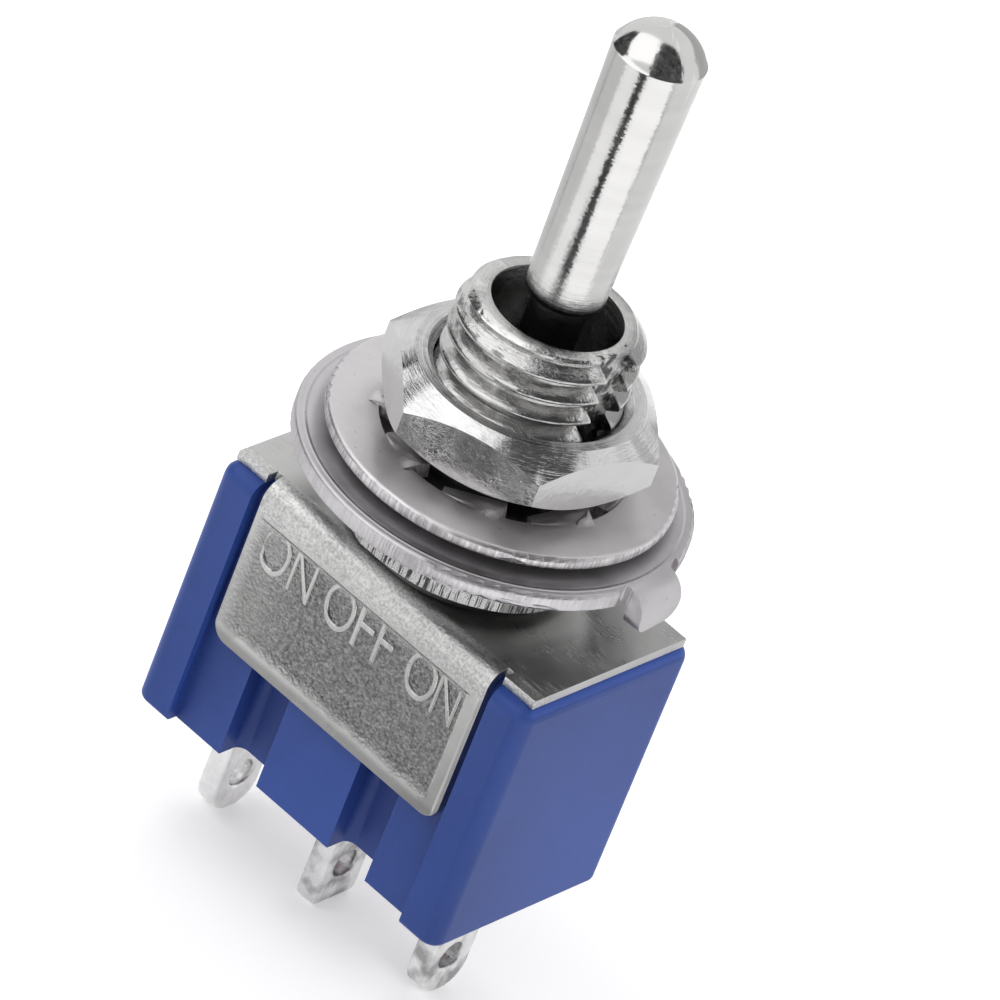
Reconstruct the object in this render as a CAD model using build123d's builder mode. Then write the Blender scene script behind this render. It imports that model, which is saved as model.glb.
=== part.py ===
"""Panel toggle switch, sub-miniature, one pole, two ways with a centre-off position.

Millimetres. +Z runs up the bushing and the upright lever, X runs along the row of
terminals and -Y is the front. The origin is on the bushing's axis, on the top face
of the folded cover.
"""

import math
import os

from build123d import *

os.makedirs("parts", exist_ok=True)

# Moulded case
case_length = 13.2
case_width = 7.9
case_height = 9.3
case_corner = 0.55
case_top_edge = 0.5
case_foot_edge = 0.2
end_wall_face = 1.45
end_wall = 1.1
side_recess = 0.5
recess_chamfer = 0.4
groove_offset = 2.4
groove_width = 1.65
groove_depth = 1.0
groove_corner = 0.35
groove_stop = 2.0
cavity_length = case_length - 2 * end_wall
cavity_width = 3.5
cavity_depth = 7.58
cavity_corner = 0.2

# Folded sheet cover
sheet = 0.32
plate_end_margin = 0.2
plate_width = 7.05
arm_side_gap = 0.28
plate_length = case_length - 2 * plate_end_margin
arm_width = case_length - 2 * end_wall_face - 2 * arm_side_gap
arm_drop = 5.9
bend_inside = 0.35
relief_width = 0.25
relief_depth = 0.42
arm_corner = 0.6
panel_side_margin = 0.57
panel_top_margin = 1.25
panel_bottom_margin = 0.55
panel_depth = 0.08
panel_corner = 0.4

# Threaded bushing
bushing_height = 9.1
thread_radius = 2.95
thread_pitch = 0.75
thread_depth = 0.42
thread_crest = 0.13
thread_root = 0.11
thread_relief = 0.45
thread_start = -0.035
rim_radius = 2.5
bore_radius = 2.07
collar_radius = 3.3
collar_height = 0.4
spigot_radius = 2.5
stake_radius = 2.9
stake_height = 0.4
keyway_width = 1.3
keyway_depth = 0.5
lip_radius = 1.7
lip_height = 0.22
socket_flare = 0.27

# Lever
pivot_height = 4.5
ball_radius = 2.0
ball_flat = 1.6
tip_height = 19.45
tip_radius = 1.45
tip_dome = 0.95
shaft_foot_height = 10.0
shaft_foot_radius = 1.25
shaft_foot_round = 0.45
neck_radius = 0.9
stem_radius = 0.9
stem_end = -3.55
stem_bore_radius = 0.6
stem_bore_top = -0.3
throw_angle = 12.5

# Plunger and its spring
plunger_head_radius = 0.75
plunger_head_length = 1.25
plunger_shank_radius = 0.55
plunger_shank_top = -2.5
spring_wire = 0.12
spring_turns = 5

# Rocking contact and its saddle
rocker_axis = -5.4
rocker_sheet = 0.4
rocker_width = 2.1
rocker_swing = 8.0
dish_half_length = 2.3
rocker_end_gap = 0.6
rocker_end_length = 1.3
rocker_end_top = -5.5
rocker_end_outside = cavity_length / 2 - rocker_end_gap
rocker_end_inside = rocker_end_outside - rocker_end_length
trunnion_radius = 0.19
trunnion_reach = 1.5
saddle_sheet = 0.4
saddle_length = 1.7
saddle_ear_rise = 0.25

# Silver contacts
moving_contact_reach = rocker_end_outside - rocker_end_length / 2
moving_contact_radius = 0.45
moving_contact_height = 0.2
fixed_contact_radius = 0.7

# Terminals
terminal_wall_gap = 0.4
terminal_sheet = 0.8
terminal_width = 2.0
terminal_drop = 4.3
terminal_tip_round = 0.9
common_tip_round = 0.2
wire_hole_radius = 0.5
wire_hole_from_tip = 1.4
terminal_foot_length = 1.7
terminal_bend = 0.4
tang_width = 1.2
tang_proud = 0.15
terminal_pitch = cavity_length / 2 - terminal_wall_gap - terminal_sheet / 2
terminal_foot_inside = terminal_pitch + terminal_sheet / 2 - terminal_foot_length
fixed_contact_reach = terminal_foot_inside + fixed_contact_radius + 0.05

# Resin round the terminals
seal_depth = 0.5
seal_margin = 0.65
seal_length = 2 * terminal_pitch + terminal_sheet + 2 * seal_margin
seal_width = 2.9

# Nuts and washers
nut_flats = 8.0
nut_height = 2.2
nut_bevel_angle = 36.0
nut_face_radius = 3.63
nut_lead_in = 0.25
upper_nut_turn = 18.8
lower_nut_turn = 22.5
key_washer_radius = 6.3
key_washer_sheet = 0.6
key_washer_edge = 0.12
key_washer_turn = 5.0
key_width = 0.68
key_reach = 2.55
tab_width = 2.05
tab_flat_reach = key_washer_radius - 0.3
tab_bend_inside = 0.25
tab_bottom = 1.85
tab_relief = 0.5
tab_relief_reach = key_washer_radius - 0.35
tab_corner = 0.5
lock_washer_radius = 5.55
lock_washer_band = 1.6
lock_washer_inside = lock_washer_radius - lock_washer_band
lock_washer_sheet = 0.45
lock_washer_edge = 0.15
lock_washer_turn = 5.5
tooth_count = 8
tooth_reach = 3.25
tooth_straight = 3.55
tooth_width = 1.75
tooth_twist = 26.4

# Clearances
slip = 0.02
running = 0.03
thread_gap = 0.05

# Places that follow from the sizes above
case_top = -sheet
case_bottom = case_top - case_height
cavity_floor = case_top - cavity_depth
recess_half = arm_width / 2 + arm_side_gap
recess_face = case_width / 2 - side_recess
arm_outside = recess_face + slip + sheet
stake_bottom = -sheet - stake_height
terminal_places = [(-terminal_pitch, 0), (0, 0), (terminal_pitch, 0)]
foot_top = cavity_floor + terminal_sheet

# Case: a moulded box with its end walls left proud, four grooves and an open top
with BuildPart() as case:
    with BuildSketch(Plane.XY.offset(case_bottom)):
        RectangleRounded(case_length, case_width, case_corner)
    extrude(amount=case_height)
    fillet(case.faces().sort_by(Axis.Z)[-1].edges(), radius=case_top_edge)
    fillet(case.faces().sort_by(Axis.Z)[0].edges(), radius=case_foot_edge)
    for side in (-1, 1):
        with BuildSketch(Plane.XY.offset(case_bottom)):
            with Locations((0, side * case_width / 2)):
                Rectangle(2 * recess_half, 2 * side_recess)
        extrude(amount=case_height, mode=Mode.SUBTRACT)
        with BuildSketch(Plane.YZ.offset(-recess_half)):
            with BuildLine():
                Polyline(
                    (side * recess_face, case_top),
                    (side * (recess_face - recess_chamfer), case_top),
                    (side * recess_face, case_top - recess_chamfer),
                    close=True,
                )
            make_face()
        extrude(amount=2 * recess_half, mode=Mode.SUBTRACT)
        with BuildSketch(Plane.XY.offset(case_bottom)):
            with Locations(*[(x, side * recess_face) for x in (-groove_offset, groove_offset)]):
                RectangleRounded(groove_width, 2 * groove_depth, groove_corner)
        extrude(amount=case_height - groove_stop, mode=Mode.SUBTRACT)
    with BuildSketch(Plane.XY.offset(case_top)):
        RectangleRounded(cavity_length, cavity_width, cavity_corner)
    extrude(amount=-cavity_depth, mode=Mode.SUBTRACT)
    with BuildSketch(Plane.XY.offset(case_top)):
        Circle(stake_radius + 5 * running)
    extrude(amount=-stake_height - 5 * running, mode=Mode.SUBTRACT)
    with BuildSketch(Plane.XY.offset(case_bottom)):
        RectangleRounded(seal_length, seal_width, cavity_corner)
    extrude(amount=seal_depth, mode=Mode.SUBTRACT)
    with BuildSketch(Plane.XY.offset(case_bottom)):
        with Locations(*terminal_places):
            Rectangle(terminal_sheet + 2 * slip, terminal_width + 2 * slip)
    extrude(amount=case_height - cavity_depth, mode=Mode.SUBTRACT)
case.part.label = "case"
export_step(case.part, "parts/case.step")

# Cover: one folded sheet, a top plate with ears and two arms down the case's sides
panel_width = arm_width - 2 * panel_side_margin
panel_height = arm_drop - panel_top_margin - panel_bottom_margin
panel_middle = -panel_top_margin - panel_height / 2
with BuildPart() as cover:
    with BuildSketch(Plane.YZ.offset(-arm_width / 2)):
        with BuildLine():
            FilletPolyline(
                (-arm_outside, -arm_drop),
                (-arm_outside, 0),
                (arm_outside, 0),
                (arm_outside, -arm_drop),
                radius=bend_inside + sheet,
            )
            Line((arm_outside, -arm_drop), (arm_outside - sheet, -arm_drop))
            FilletPolyline(
                (arm_outside - sheet, -arm_drop),
                (arm_outside - sheet, -sheet),
                (sheet - arm_outside, -sheet),
                (sheet - arm_outside, -arm_drop),
                radius=bend_inside,
            )
            Line((sheet - arm_outside, -arm_drop), (-arm_outside, -arm_drop))
        make_face()
    extrude(amount=arm_width)
    fillet(cover.edges().filter_by(Axis.Y).group_by(Axis.Z)[0], radius=arm_corner)
    with BuildSketch(Plane.XY):
        Rectangle(plate_length, plate_width)
        Rectangle(arm_width, plate_width, mode=Mode.SUBTRACT)
        for side in (-1, 1):
            with Locations(*[(x, side * plate_width / 2) for x in (-arm_width / 2, arm_width / 2)]):
                Rectangle(2 * relief_width, 2 * relief_depth, mode=Mode.SUBTRACT)
    extrude(amount=-sheet)
    with BuildSketch(Plane.XY):
        Circle(spigot_radius + slip)
    extrude(amount=-sheet, mode=Mode.SUBTRACT)
    with BuildSketch(Plane.XZ.offset(arm_outside)):
        with Locations((0, panel_middle)):
            RectangleRounded(panel_width, panel_height, panel_corner)
    extrude(amount=-panel_depth, mode=Mode.SUBTRACT)
cover.part.label = "cover"
export_step(cover.part, "parts/cover.step")

# Bushing: turned, bored from both ends, staked under the cover and grooved for a key
socket_radius = ball_radius + running
lip_bottom = pivot_height + math.sqrt(socket_radius**2 - lip_radius**2)
lip_top = lip_bottom + lip_height
seat_top = lip_top + bore_radius - lip_radius
lip_angle = math.degrees(math.acos(lip_radius / socket_radius))
with BuildPart() as ball_space:
    with BuildSketch(Plane.XZ):
        with BuildLine():
            Polyline(
                (lip_radius, lip_bottom),
                (0, lip_bottom),
                (0, stake_bottom),
                (socket_radius + socket_flare, stake_bottom),
                (socket_radius, stake_bottom + 2 * socket_flare),
                (socket_radius, pivot_height),
            )
            CenterArc((0, pivot_height), socket_radius, 0, lip_angle)
        make_face()
    revolve(axis=Axis.Z)
    with BuildSketch(Plane.XY.offset(stake_bottom)):
        Rectangle(4 * socket_radius, 2 * (ball_flat + running))
    extrude(amount=bushing_height, mode=Mode.INTERSECT)

# Right-hand thread: a helical groove round a blank, then the relief and the chamfered rim
groove_turns = math.ceil((bushing_height - thread_start) / thread_pitch) + 1
groove_mouth = thread_pitch - thread_crest
groove_slope = (groove_mouth - thread_root) / 2 / thread_depth
groove_outside = groove_mouth + 2 * thread_gap * groove_slope
relief_radius = thread_radius - thread_depth - slip
envelope_radius = thread_radius + 2 * thread_gap
with BuildPart() as thread:
    with BuildSketch(Plane.XY.offset(thread_start - thread_pitch)):
        Circle(thread_radius)
    extrude(amount=(groove_turns + 2) * thread_pitch)
    with BuildLine() as groove_path:
        Helix(
            pitch=thread_pitch,
            height=groove_turns * thread_pitch,
            radius=thread_radius,
            center=(0, 0, thread_start),
        )
    with BuildSketch(Plane((thread_radius, 0, thread_start), x_dir=(1, 0, 0), z_dir=(0, 1, 0))):
        with BuildLine():
            Polyline(
                (2 * thread_gap, -groove_outside / 2),
                (2 * thread_gap, groove_outside / 2),
                (thread_gap, groove_outside / 2),
                (-thread_depth, thread_root / 2),
                (-thread_depth, -thread_root / 2),
                (thread_gap, -groove_outside / 2),
                close=True,
            )
        make_face()
    sweep(path=groove_path.line, is_frenet=True, mode=Mode.SUBTRACT)
    with BuildSketch(Plane.XZ):
        with BuildLine():
            Polyline(
                (0, collar_height / 2),
                (relief_radius, collar_height / 2),
                (relief_radius, collar_height + thread_relief),
                (envelope_radius, collar_height + thread_relief + thread_depth),
                (envelope_radius, bushing_height - envelope_radius + rim_radius),
                (rim_radius, bushing_height),
                (0, bushing_height),
                close=True,
            )
        make_face()
    revolve(axis=Axis.Z, mode=Mode.INTERSECT)
with BuildPart() as bushing:
    with BuildSketch(Plane.XZ):
        with BuildLine():
            Polyline(
                (0, stake_bottom),
                (stake_radius, stake_bottom),
                (stake_radius, -sheet),
                (spigot_radius, -sheet),
                (spigot_radius, 0),
                (collar_radius, 0),
                (collar_radius, collar_height),
                (0, collar_height),
                close=True,
            )
        make_face()
    revolve(axis=Axis.Z)
    add(thread.part)
    with BuildSketch(Plane.XZ):
        with BuildLine():
            Polyline(
                (0, bushing_height),
                (bore_radius, bushing_height),
                (bore_radius, seat_top),
                (lip_radius, lip_top),
                (lip_radius, lip_bottom),
                (0, lip_bottom),
                close=True,
            )
        make_face()
    revolve(axis=Axis.Z, mode=Mode.SUBTRACT)
    add(ball_space.part, mode=Mode.SUBTRACT)
    with BuildSketch(Plane.XY.offset(collar_height)):
        with Locations((thread_radius, 0)):
            Rectangle(2 * keyway_depth, keyway_width)
    extrude(amount=bushing_height, mode=Mode.SUBTRACT)
bushing.part.label = "bushing"
export_step(bushing.part, "parts/bushing.step")

# Lever: turned in one piece, domed tip, tapered shaft, neck, flatted ball and bored stem
dome_foot = tip_height - tip_dome
dome_sphere = (tip_radius**2 + tip_dome**2) / (2 * tip_dome)
ball_neck = pivot_height + math.sqrt(ball_radius**2 - neck_radius**2)
ball_stem = pivot_height - math.sqrt(ball_radius**2 - stem_radius**2)
neck_top = shaft_foot_height - shaft_foot_round
with BuildPart() as lever:
    with BuildSketch(Plane.XZ):
        with BuildLine():
            Polyline((0, tip_height), (0, stem_end), (stem_radius, stem_end), (stem_radius, ball_stem))
            ThreePointArc(
                (stem_radius, ball_stem), (ball_radius, pivot_height), (neck_radius, ball_neck)
            )
            Line((neck_radius, ball_neck), (neck_radius, neck_top))
            Bezier(
                (neck_radius, neck_top),
                (shaft_foot_radius - 0.05, neck_top),
                (shaft_foot_radius, neck_top + shaft_foot_round / 2),
                (shaft_foot_radius, shaft_foot_height),
            )
            Line((shaft_foot_radius, shaft_foot_height), (tip_radius, dome_foot))
            RadiusArc((tip_radius, dome_foot), (0, tip_height), -dome_sphere)
        make_face()
    revolve(axis=Axis.Z)
    with BuildSketch(Plane.XY.offset(stem_end)):
        Rectangle(4 * ball_radius, 2 * ball_flat)
    extrude(amount=tip_height - stem_end, mode=Mode.INTERSECT)
    with BuildSketch(Plane.XY.offset(stem_end)):
        Circle(stem_bore_radius)
    extrude(amount=stem_bore_top - stem_end, mode=Mode.SUBTRACT)
lever.part.label = "lever"
export_step(lever.part, "parts/lever.step")

# Plunger: a ball-ended plastic pin that slides in the stem's bore
rocker_top = rocker_axis + rocker_sheet / 2
plunger_tip = rocker_top + running
tip_centre = plunger_tip + plunger_head_radius
head_top = plunger_tip + plunger_head_length
with BuildPart() as plunger:
    with BuildSketch(Plane.XZ):
        with BuildLine():
            Polyline(
                (0, plunger_tip),
                (0, plunger_shank_top),
                (plunger_shank_radius, plunger_shank_top),
                (plunger_shank_radius, head_top),
                (plunger_head_radius, head_top),
                (plunger_head_radius, tip_centre),
            )
            CenterArc((0, tip_centre), plunger_head_radius, 0, -90)
        make_face()
    revolve(axis=Axis.Z)
plunger.part.label = "plunger"
export_step(plunger.part, "parts/plunger.step")

# Plunger spring: round wire wound between the bore's end and the plunger
spring_mean = stem_bore_radius - running - spring_wire / 2
spring_foot = plunger_shank_top + spring_wire / 2 + slip
spring_length = stem_bore_top - plunger_shank_top - spring_wire - 2 * slip
with BuildPart() as plunger_spring:
    with BuildLine():
        coil = Helix(
            pitch=spring_length / spring_turns,
            height=spring_length,
            radius=spring_mean,
            center=(0, 0, spring_foot),
        )
    with BuildSketch(Plane(origin=coil @ 0, z_dir=coil % 0)):
        Circle(spring_wire / 2)
    sweep(path=coil, is_frenet=True)
plunger_spring.part.label = "plunger_spring"
export_step(plunger_spring.part, "parts/plunger_spring.step")

# Rocking contact: a dished strip that tips on two trunnions as the plunger crosses it
turn_share = rocker_swing / throw_angle
tip_arm = pivot_height - tip_centre
tip_over_axis = tip_centre - rocker_axis
track_radius = (tip_arm - tip_over_axis * turn_share) ** 2 / (
    tip_arm * (1 + 2 * turn_share) - tip_over_axis * turn_share**2
)
dish_radius = track_radius + plunger_head_radius + running
dish_centre = rocker_top + dish_radius
dish_edge = dish_centre - math.sqrt(dish_radius**2 - dish_half_length**2)
under_edge = dish_centre - math.sqrt((dish_radius + rocker_sheet) ** 2 - dish_half_length**2)
with BuildPart() as rocker:
    with BuildSketch(Plane.XZ.offset(-rocker_width / 2)):
        with BuildLine():
            Polyline(
                (-dish_half_length, dish_edge),
                (-rocker_end_inside, rocker_end_top),
                (-rocker_end_outside, rocker_end_top),
                (-rocker_end_outside, rocker_end_top - rocker_sheet),
                (-rocker_end_inside - 0.1, rocker_end_top - rocker_sheet),
                (-dish_half_length, under_edge),
            )
            ThreePointArc(
                (-dish_half_length, under_edge),
                (0, rocker_top - rocker_sheet),
                (dish_half_length, under_edge),
            )
            Polyline(
                (dish_half_length, under_edge),
                (rocker_end_inside + 0.1, rocker_end_top - rocker_sheet),
                (rocker_end_outside, rocker_end_top - rocker_sheet),
                (rocker_end_outside, rocker_end_top),
                (rocker_end_inside, rocker_end_top),
                (dish_half_length, dish_edge),
            )
            ThreePointArc(
                (dish_half_length, dish_edge), (0, rocker_top), (-dish_half_length, dish_edge)
            )
        make_face()
    extrude(amount=rocker_width)
    with BuildSketch(Plane.XZ.offset(-trunnion_reach)):
        with Locations((0, rocker_axis)):
            Circle(trunnion_radius)
    extrude(amount=2 * trunnion_reach)
rocker.part.label = "rocker"
export_step(rocker.part, "parts/rocker.step")

# Saddle: a folded bracket whose two ears carry the rocking contact's trunnions
ear_inside = rocker_width / 2 + 2 * running
ear_outside = ear_inside + saddle_sheet
ear_top = rocker_axis + saddle_ear_rise
with BuildPart() as saddle:
    with BuildSketch(Plane.YZ.offset(-saddle_length / 2)):
        with BuildLine():
            Polyline(
                (-ear_outside, cavity_floor),
                (ear_outside, cavity_floor),
                (ear_outside, ear_top),
                (ear_inside, ear_top),
                (ear_inside, cavity_floor + saddle_sheet),
                (-ear_inside, cavity_floor + saddle_sheet),
                (-ear_inside, ear_top),
                (-ear_outside, ear_top),
                close=True,
            )
        make_face()
    extrude(amount=saddle_length)
    fillet(saddle.edges().filter_by(Axis.X).group_by(Axis.Z)[0], radius=saddle_sheet * 0.75)
    with BuildSketch(Plane.XZ.offset(-ear_outside)):
        with Locations((0, rocker_axis)):
            Circle(trunnion_radius + running)
        with Locations((0, rocker_axis + saddle_ear_rise / 2)):
            Rectangle(2 * (trunnion_radius + running), saddle_ear_rise)
    extrude(amount=2 * ear_outside, mode=Mode.SUBTRACT)
    with BuildSketch(Plane.XY.offset(cavity_floor)):
        Rectangle(terminal_sheet + 2 * slip, tang_width + 2 * slip)
    extrude(amount=saddle_sheet, mode=Mode.SUBTRACT)
saddle.part.label = "saddle"
export_step(saddle.part, "parts/saddle.step")

# Terminals: blades with a round end and a hole for a wire, the outer two folded to a foot
tip_bottom = case_bottom - terminal_drop
for name, place in (("terminal_left", -1), ("terminal_common", 0), ("terminal_right", 1)):
    blade_x = place * terminal_pitch
    blade_top = foot_top if place else cavity_floor
    with BuildPart() as terminal:
        with BuildSketch(Plane.YZ.offset(blade_x - terminal_sheet / 2)):
            with Locations((0, (blade_top + tip_bottom) / 2)):
                Rectangle(terminal_width, blade_top - tip_bottom)
        extrude(amount=terminal_sheet)
        fillet(terminal.edges().filter_by(Axis.X).group_by(Axis.Z)[0], radius=terminal_tip_round if place else common_tip_round)
        with BuildSketch(Plane.YZ.offset(blade_x - terminal_sheet / 2)):
            with Locations((0, tip_bottom + wire_hole_from_tip)):
                Circle(wire_hole_radius)
        extrude(amount=terminal_sheet, mode=Mode.SUBTRACT)
        if place:
            foot_length = terminal_pitch - terminal_foot_inside
            with BuildSketch(Plane.XY.offset(cavity_floor)):
                with Locations((place * (terminal_foot_inside + foot_length / 2), 0)):
                    Rectangle(foot_length, terminal_width)
            extrude(amount=terminal_sheet)
            top_edges = terminal.edges().filter_by(Axis.Y).group_by(Axis.Z)[-1].sort_by(Axis.X)
            fillet(top_edges[-1 if place > 0 else 0], radius=terminal_bend)
        else:
            with BuildSketch(Plane.XY.offset(cavity_floor)):
                Rectangle(terminal_sheet, tang_width)
            extrude(amount=saddle_sheet + tang_proud)
    terminal.part.label = name
    export_step(terminal.part, "parts/" + name + ".step")

# Contacts: silver buttons on the outer terminals' feet and under the rocking strip's ends
swing = math.radians(rocker_swing)
moving_top = rocker_end_top - rocker_sheet
moving_face = moving_top - moving_contact_height
moving_edge = moving_contact_reach + moving_contact_radius
closed_face = rocker_axis - moving_edge * math.sin(swing) + (moving_face - rocker_axis) * math.cos(swing)
fixed_height = closed_face - 0.01 - foot_top
for name, x, bottom, radius, height in (
    ("fixed_contact_left", -fixed_contact_reach, foot_top, fixed_contact_radius, fixed_height),
    ("fixed_contact_right", fixed_contact_reach, foot_top, fixed_contact_radius, fixed_height),
    ("rocker_contact_left", -moving_contact_reach, moving_face, moving_contact_radius, moving_contact_height),
    ("rocker_contact_right", moving_contact_reach, moving_face, moving_contact_radius, moving_contact_height),
):
    with BuildPart() as button:
        with BuildSketch(Plane.XY.offset(bottom)):
            with Locations((x, 0)):
                Circle(radius)
        extrude(amount=height)
    button.part.label = name
    export_step(button.part, "parts/" + name + ".step")

# Terminal seal: set resin in the case's underside round the three terminals
with BuildPart() as terminal_seal:
    with BuildSketch(Plane.XY.offset(case_bottom)):
        RectangleRounded(seal_length, seal_width, cavity_corner)
        with Locations(*terminal_places):
            Rectangle(terminal_sheet, terminal_width, mode=Mode.SUBTRACT)
    extrude(amount=seal_depth)
terminal_seal.part.label = "terminal_seal"
export_step(terminal_seal.part, "parts/terminal_seal.step")

# Lock washer: a ring with twisted teeth that stand between the nut and the locating washer
key_washer_bottom = collar_height + nut_height
key_washer_top = key_washer_bottom + key_washer_sheet
twist = math.radians(tooth_twist)
tooth_rise = (tooth_width * math.sin(twist) + lock_washer_sheet * math.cos(twist)) / 2
lock_washer_middle = key_washer_top + tooth_rise
upper_nut_bottom = lock_washer_middle + tooth_rise
with BuildPart() as lock_washer:
    with BuildSketch(Plane.XY.offset(lock_washer_middle - lock_washer_sheet / 2)):
        Circle(lock_washer_radius)
        Circle(lock_washer_inside, mode=Mode.SUBTRACT)
    extrude(amount=lock_washer_sheet)
    outer_rims = lock_washer.edges().filter_by(GeomType.CIRCLE).sort_by(SortBy.RADIUS)[-2:]
    fillet(outer_rims, radius=lock_washer_edge)
    for number in range(tooth_count):
        around = math.radians(lock_washer_turn + (number + 0.5) * 360 / tooth_count)
        outward = Vector(math.cos(around), math.sin(around), 0)
        sideways = Vector(-math.sin(around), math.cos(around), 0)
        middle = Vector(0, 0, lock_washer_middle)
        leaning = sideways * math.cos(twist) + Vector(0, 0, math.sin(twist))
        tooth_end = Plane(middle + outward * tooth_reach, x_dir=leaning, z_dir=outward)
        tooth_waist = Plane(middle + outward * tooth_straight, x_dir=leaning, z_dir=outward)
        tooth_root = Plane(middle + outward * (lock_washer_inside + 0.3), x_dir=sideways, z_dir=outward)
        for plane in (tooth_end, tooth_waist):
            with BuildSketch(plane):
                Rectangle(tooth_width, lock_washer_sheet)
        with BuildSketch(tooth_root):
            Rectangle(tooth_width, lock_washer_sheet - 2 * slip)
        loft(ruled=True)
lock_washer.part.label = "lock_washer"
export_step(lock_washer.part, "parts/lock_washer.step")

# Hex nuts: bevelled on both faces, the bore running clear of the thread's crest
corner_radius = nut_flats / 2 / math.cos(math.radians(30))
bevel_drop = (corner_radius - nut_face_radius) * math.tan(math.radians(nut_bevel_angle))
bore_clear = thread_radius + thread_gap
for name, bottom, turn in (
    ("lower_nut", collar_height, lower_nut_turn),
    ("upper_nut", upper_nut_bottom, upper_nut_turn),
):
    with BuildPart() as nut:
        with BuildSketch(Plane.XY.offset(bottom)):
            RegularPolygon(corner_radius, 6, rotation=turn)
        extrude(amount=nut_height)
        with BuildSketch(Plane.XZ):
            with BuildLine():
                Polyline(
                    (0, bottom),
                    (nut_face_radius, bottom),
                    (corner_radius, bottom + bevel_drop),
                    (corner_radius, bottom + nut_height - bevel_drop),
                    (nut_face_radius, bottom + nut_height),
                    (0, bottom + nut_height),
                    close=True,
                )
            make_face()
        revolve(axis=Axis.Z, mode=Mode.INTERSECT)
        with BuildSketch(Plane.XZ):
            with BuildLine():
                Polyline(
                    (0, bottom),
                    (bore_clear + nut_lead_in, bottom),
                    (bore_clear, bottom + nut_lead_in),
                    (bore_clear, bottom + nut_height - nut_lead_in),
                    (bore_clear + nut_lead_in, bottom + nut_height),
                    (0, bottom + nut_height),
                    close=True,
                )
            make_face()
        revolve(axis=Axis.Z, mode=Mode.SUBTRACT)
    nut.part.label = name
    export_step(nut.part, "parts/" + name + ".step")

# Locating washer: a flat ring with a key inside and a tab folded down outside
tab_outside = tab_flat_reach + tab_bend_inside + key_washer_sheet
tab_joint = tab_relief_reach - 0.1
notch_length = key_washer_radius - tab_relief_reach + 0.1
with BuildPart() as locating_washer:
    with BuildSketch(Plane.XY.offset(key_washer_bottom)):
        Circle(key_washer_radius)
        Circle(bore_clear, mode=Mode.SUBTRACT)
    extrude(amount=key_washer_sheet)
    outer_rims = locating_washer.edges().filter_by(GeomType.CIRCLE).sort_by(SortBy.RADIUS)[-2:]
    fillet(outer_rims, radius=key_washer_edge)
    with BuildSketch(Plane.XY.offset(key_washer_bottom)):
        with Locations(((key_reach + bore_clear + 0.1) / 2, 0)):
            Rectangle(bore_clear + 0.1 - key_reach, key_width)
    extrude(amount=key_washer_sheet)
    with BuildSketch(Plane.XY.offset(key_washer_bottom)):
        with Locations((tab_relief_reach + notch_length / 2, 0)):
            Rectangle(notch_length, tab_width + 2 * tab_relief)
    extrude(amount=key_washer_sheet, mode=Mode.SUBTRACT)
    with BuildSketch(Plane.XZ.offset(-tab_width / 2)):
        with BuildLine():
            FilletPolyline(
                (tab_joint, key_washer_top),
                (tab_outside, key_washer_top),
                (tab_outside, tab_bottom),
                radius=tab_bend_inside + key_washer_sheet,
            )
            Line((tab_outside, tab_bottom), (tab_outside - key_washer_sheet, tab_bottom))
            FilletPolyline(
                (tab_outside - key_washer_sheet, tab_bottom),
                (tab_outside - key_washer_sheet, key_washer_bottom),
                (tab_joint, key_washer_bottom),
                radius=tab_bend_inside,
            )
            Line((tab_joint, key_washer_bottom), (tab_joint, key_washer_top))
        make_face()
    extrude(amount=tab_width)
    fillet(locating_washer.edges().filter_by(Axis.X).group_by(Axis.Z)[0], radius=tab_corner)
turned_washer = locating_washer.part.rotate(Axis.Z, key_washer_turn)
turned_washer.label = "locating_washer"
export_step(turned_washer, "parts/locating_washer.step")

print("case underside", round(case_bottom, 3), "terminal tips", round(tip_bottom, 3))
print("locating washer", round(key_washer_bottom, 3), "to", round(key_washer_top, 3))
print("upper nut", round(upper_nut_bottom, 3), "to", round(upper_nut_bottom + nut_height, 3))
print("track radius", round(track_radius, 3), "closed contact face", round(closed_face, 3))
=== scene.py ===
"""Panel toggle switch: finishes, threads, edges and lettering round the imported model."""

import math

import bmesh
import bpy
from bpy.props import FloatProperty, FloatVectorProperty, IntProperty, PointerProperty
from bpy.types import Operator, Panel, PropertyGroup
from mathutils import Matrix, Vector


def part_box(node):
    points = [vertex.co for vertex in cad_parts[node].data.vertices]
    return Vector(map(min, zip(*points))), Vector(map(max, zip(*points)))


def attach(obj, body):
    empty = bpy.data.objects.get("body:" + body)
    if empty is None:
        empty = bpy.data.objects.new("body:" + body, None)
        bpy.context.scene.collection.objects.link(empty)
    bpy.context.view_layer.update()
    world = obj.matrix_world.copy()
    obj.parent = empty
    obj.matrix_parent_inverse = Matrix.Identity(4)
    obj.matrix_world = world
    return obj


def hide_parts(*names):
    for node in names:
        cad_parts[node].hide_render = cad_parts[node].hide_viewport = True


bl_info = {
    "name": "Panel toggle switch",
    "version": (1, 0, 0),
    "blender": (4, 5, 0),
    "location": "View3D > Sidebar > Toggle switch",
    "description": "Dresses a panel toggle switch and sets it in a plain studio",
    "category": "Object",
}

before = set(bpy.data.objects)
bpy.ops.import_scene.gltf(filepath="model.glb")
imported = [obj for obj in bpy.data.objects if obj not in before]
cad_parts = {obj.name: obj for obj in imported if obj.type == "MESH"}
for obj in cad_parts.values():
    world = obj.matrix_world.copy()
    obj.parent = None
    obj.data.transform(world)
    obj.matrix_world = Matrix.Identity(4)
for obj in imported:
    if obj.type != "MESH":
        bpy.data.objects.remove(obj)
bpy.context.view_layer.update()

# Metres to the millimetres that pieces are modelled in
MM = 1000.0


def box_mm(node):
    """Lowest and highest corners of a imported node, in millimetres."""
    low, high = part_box(node)
    return low * MM, high * MM


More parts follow.
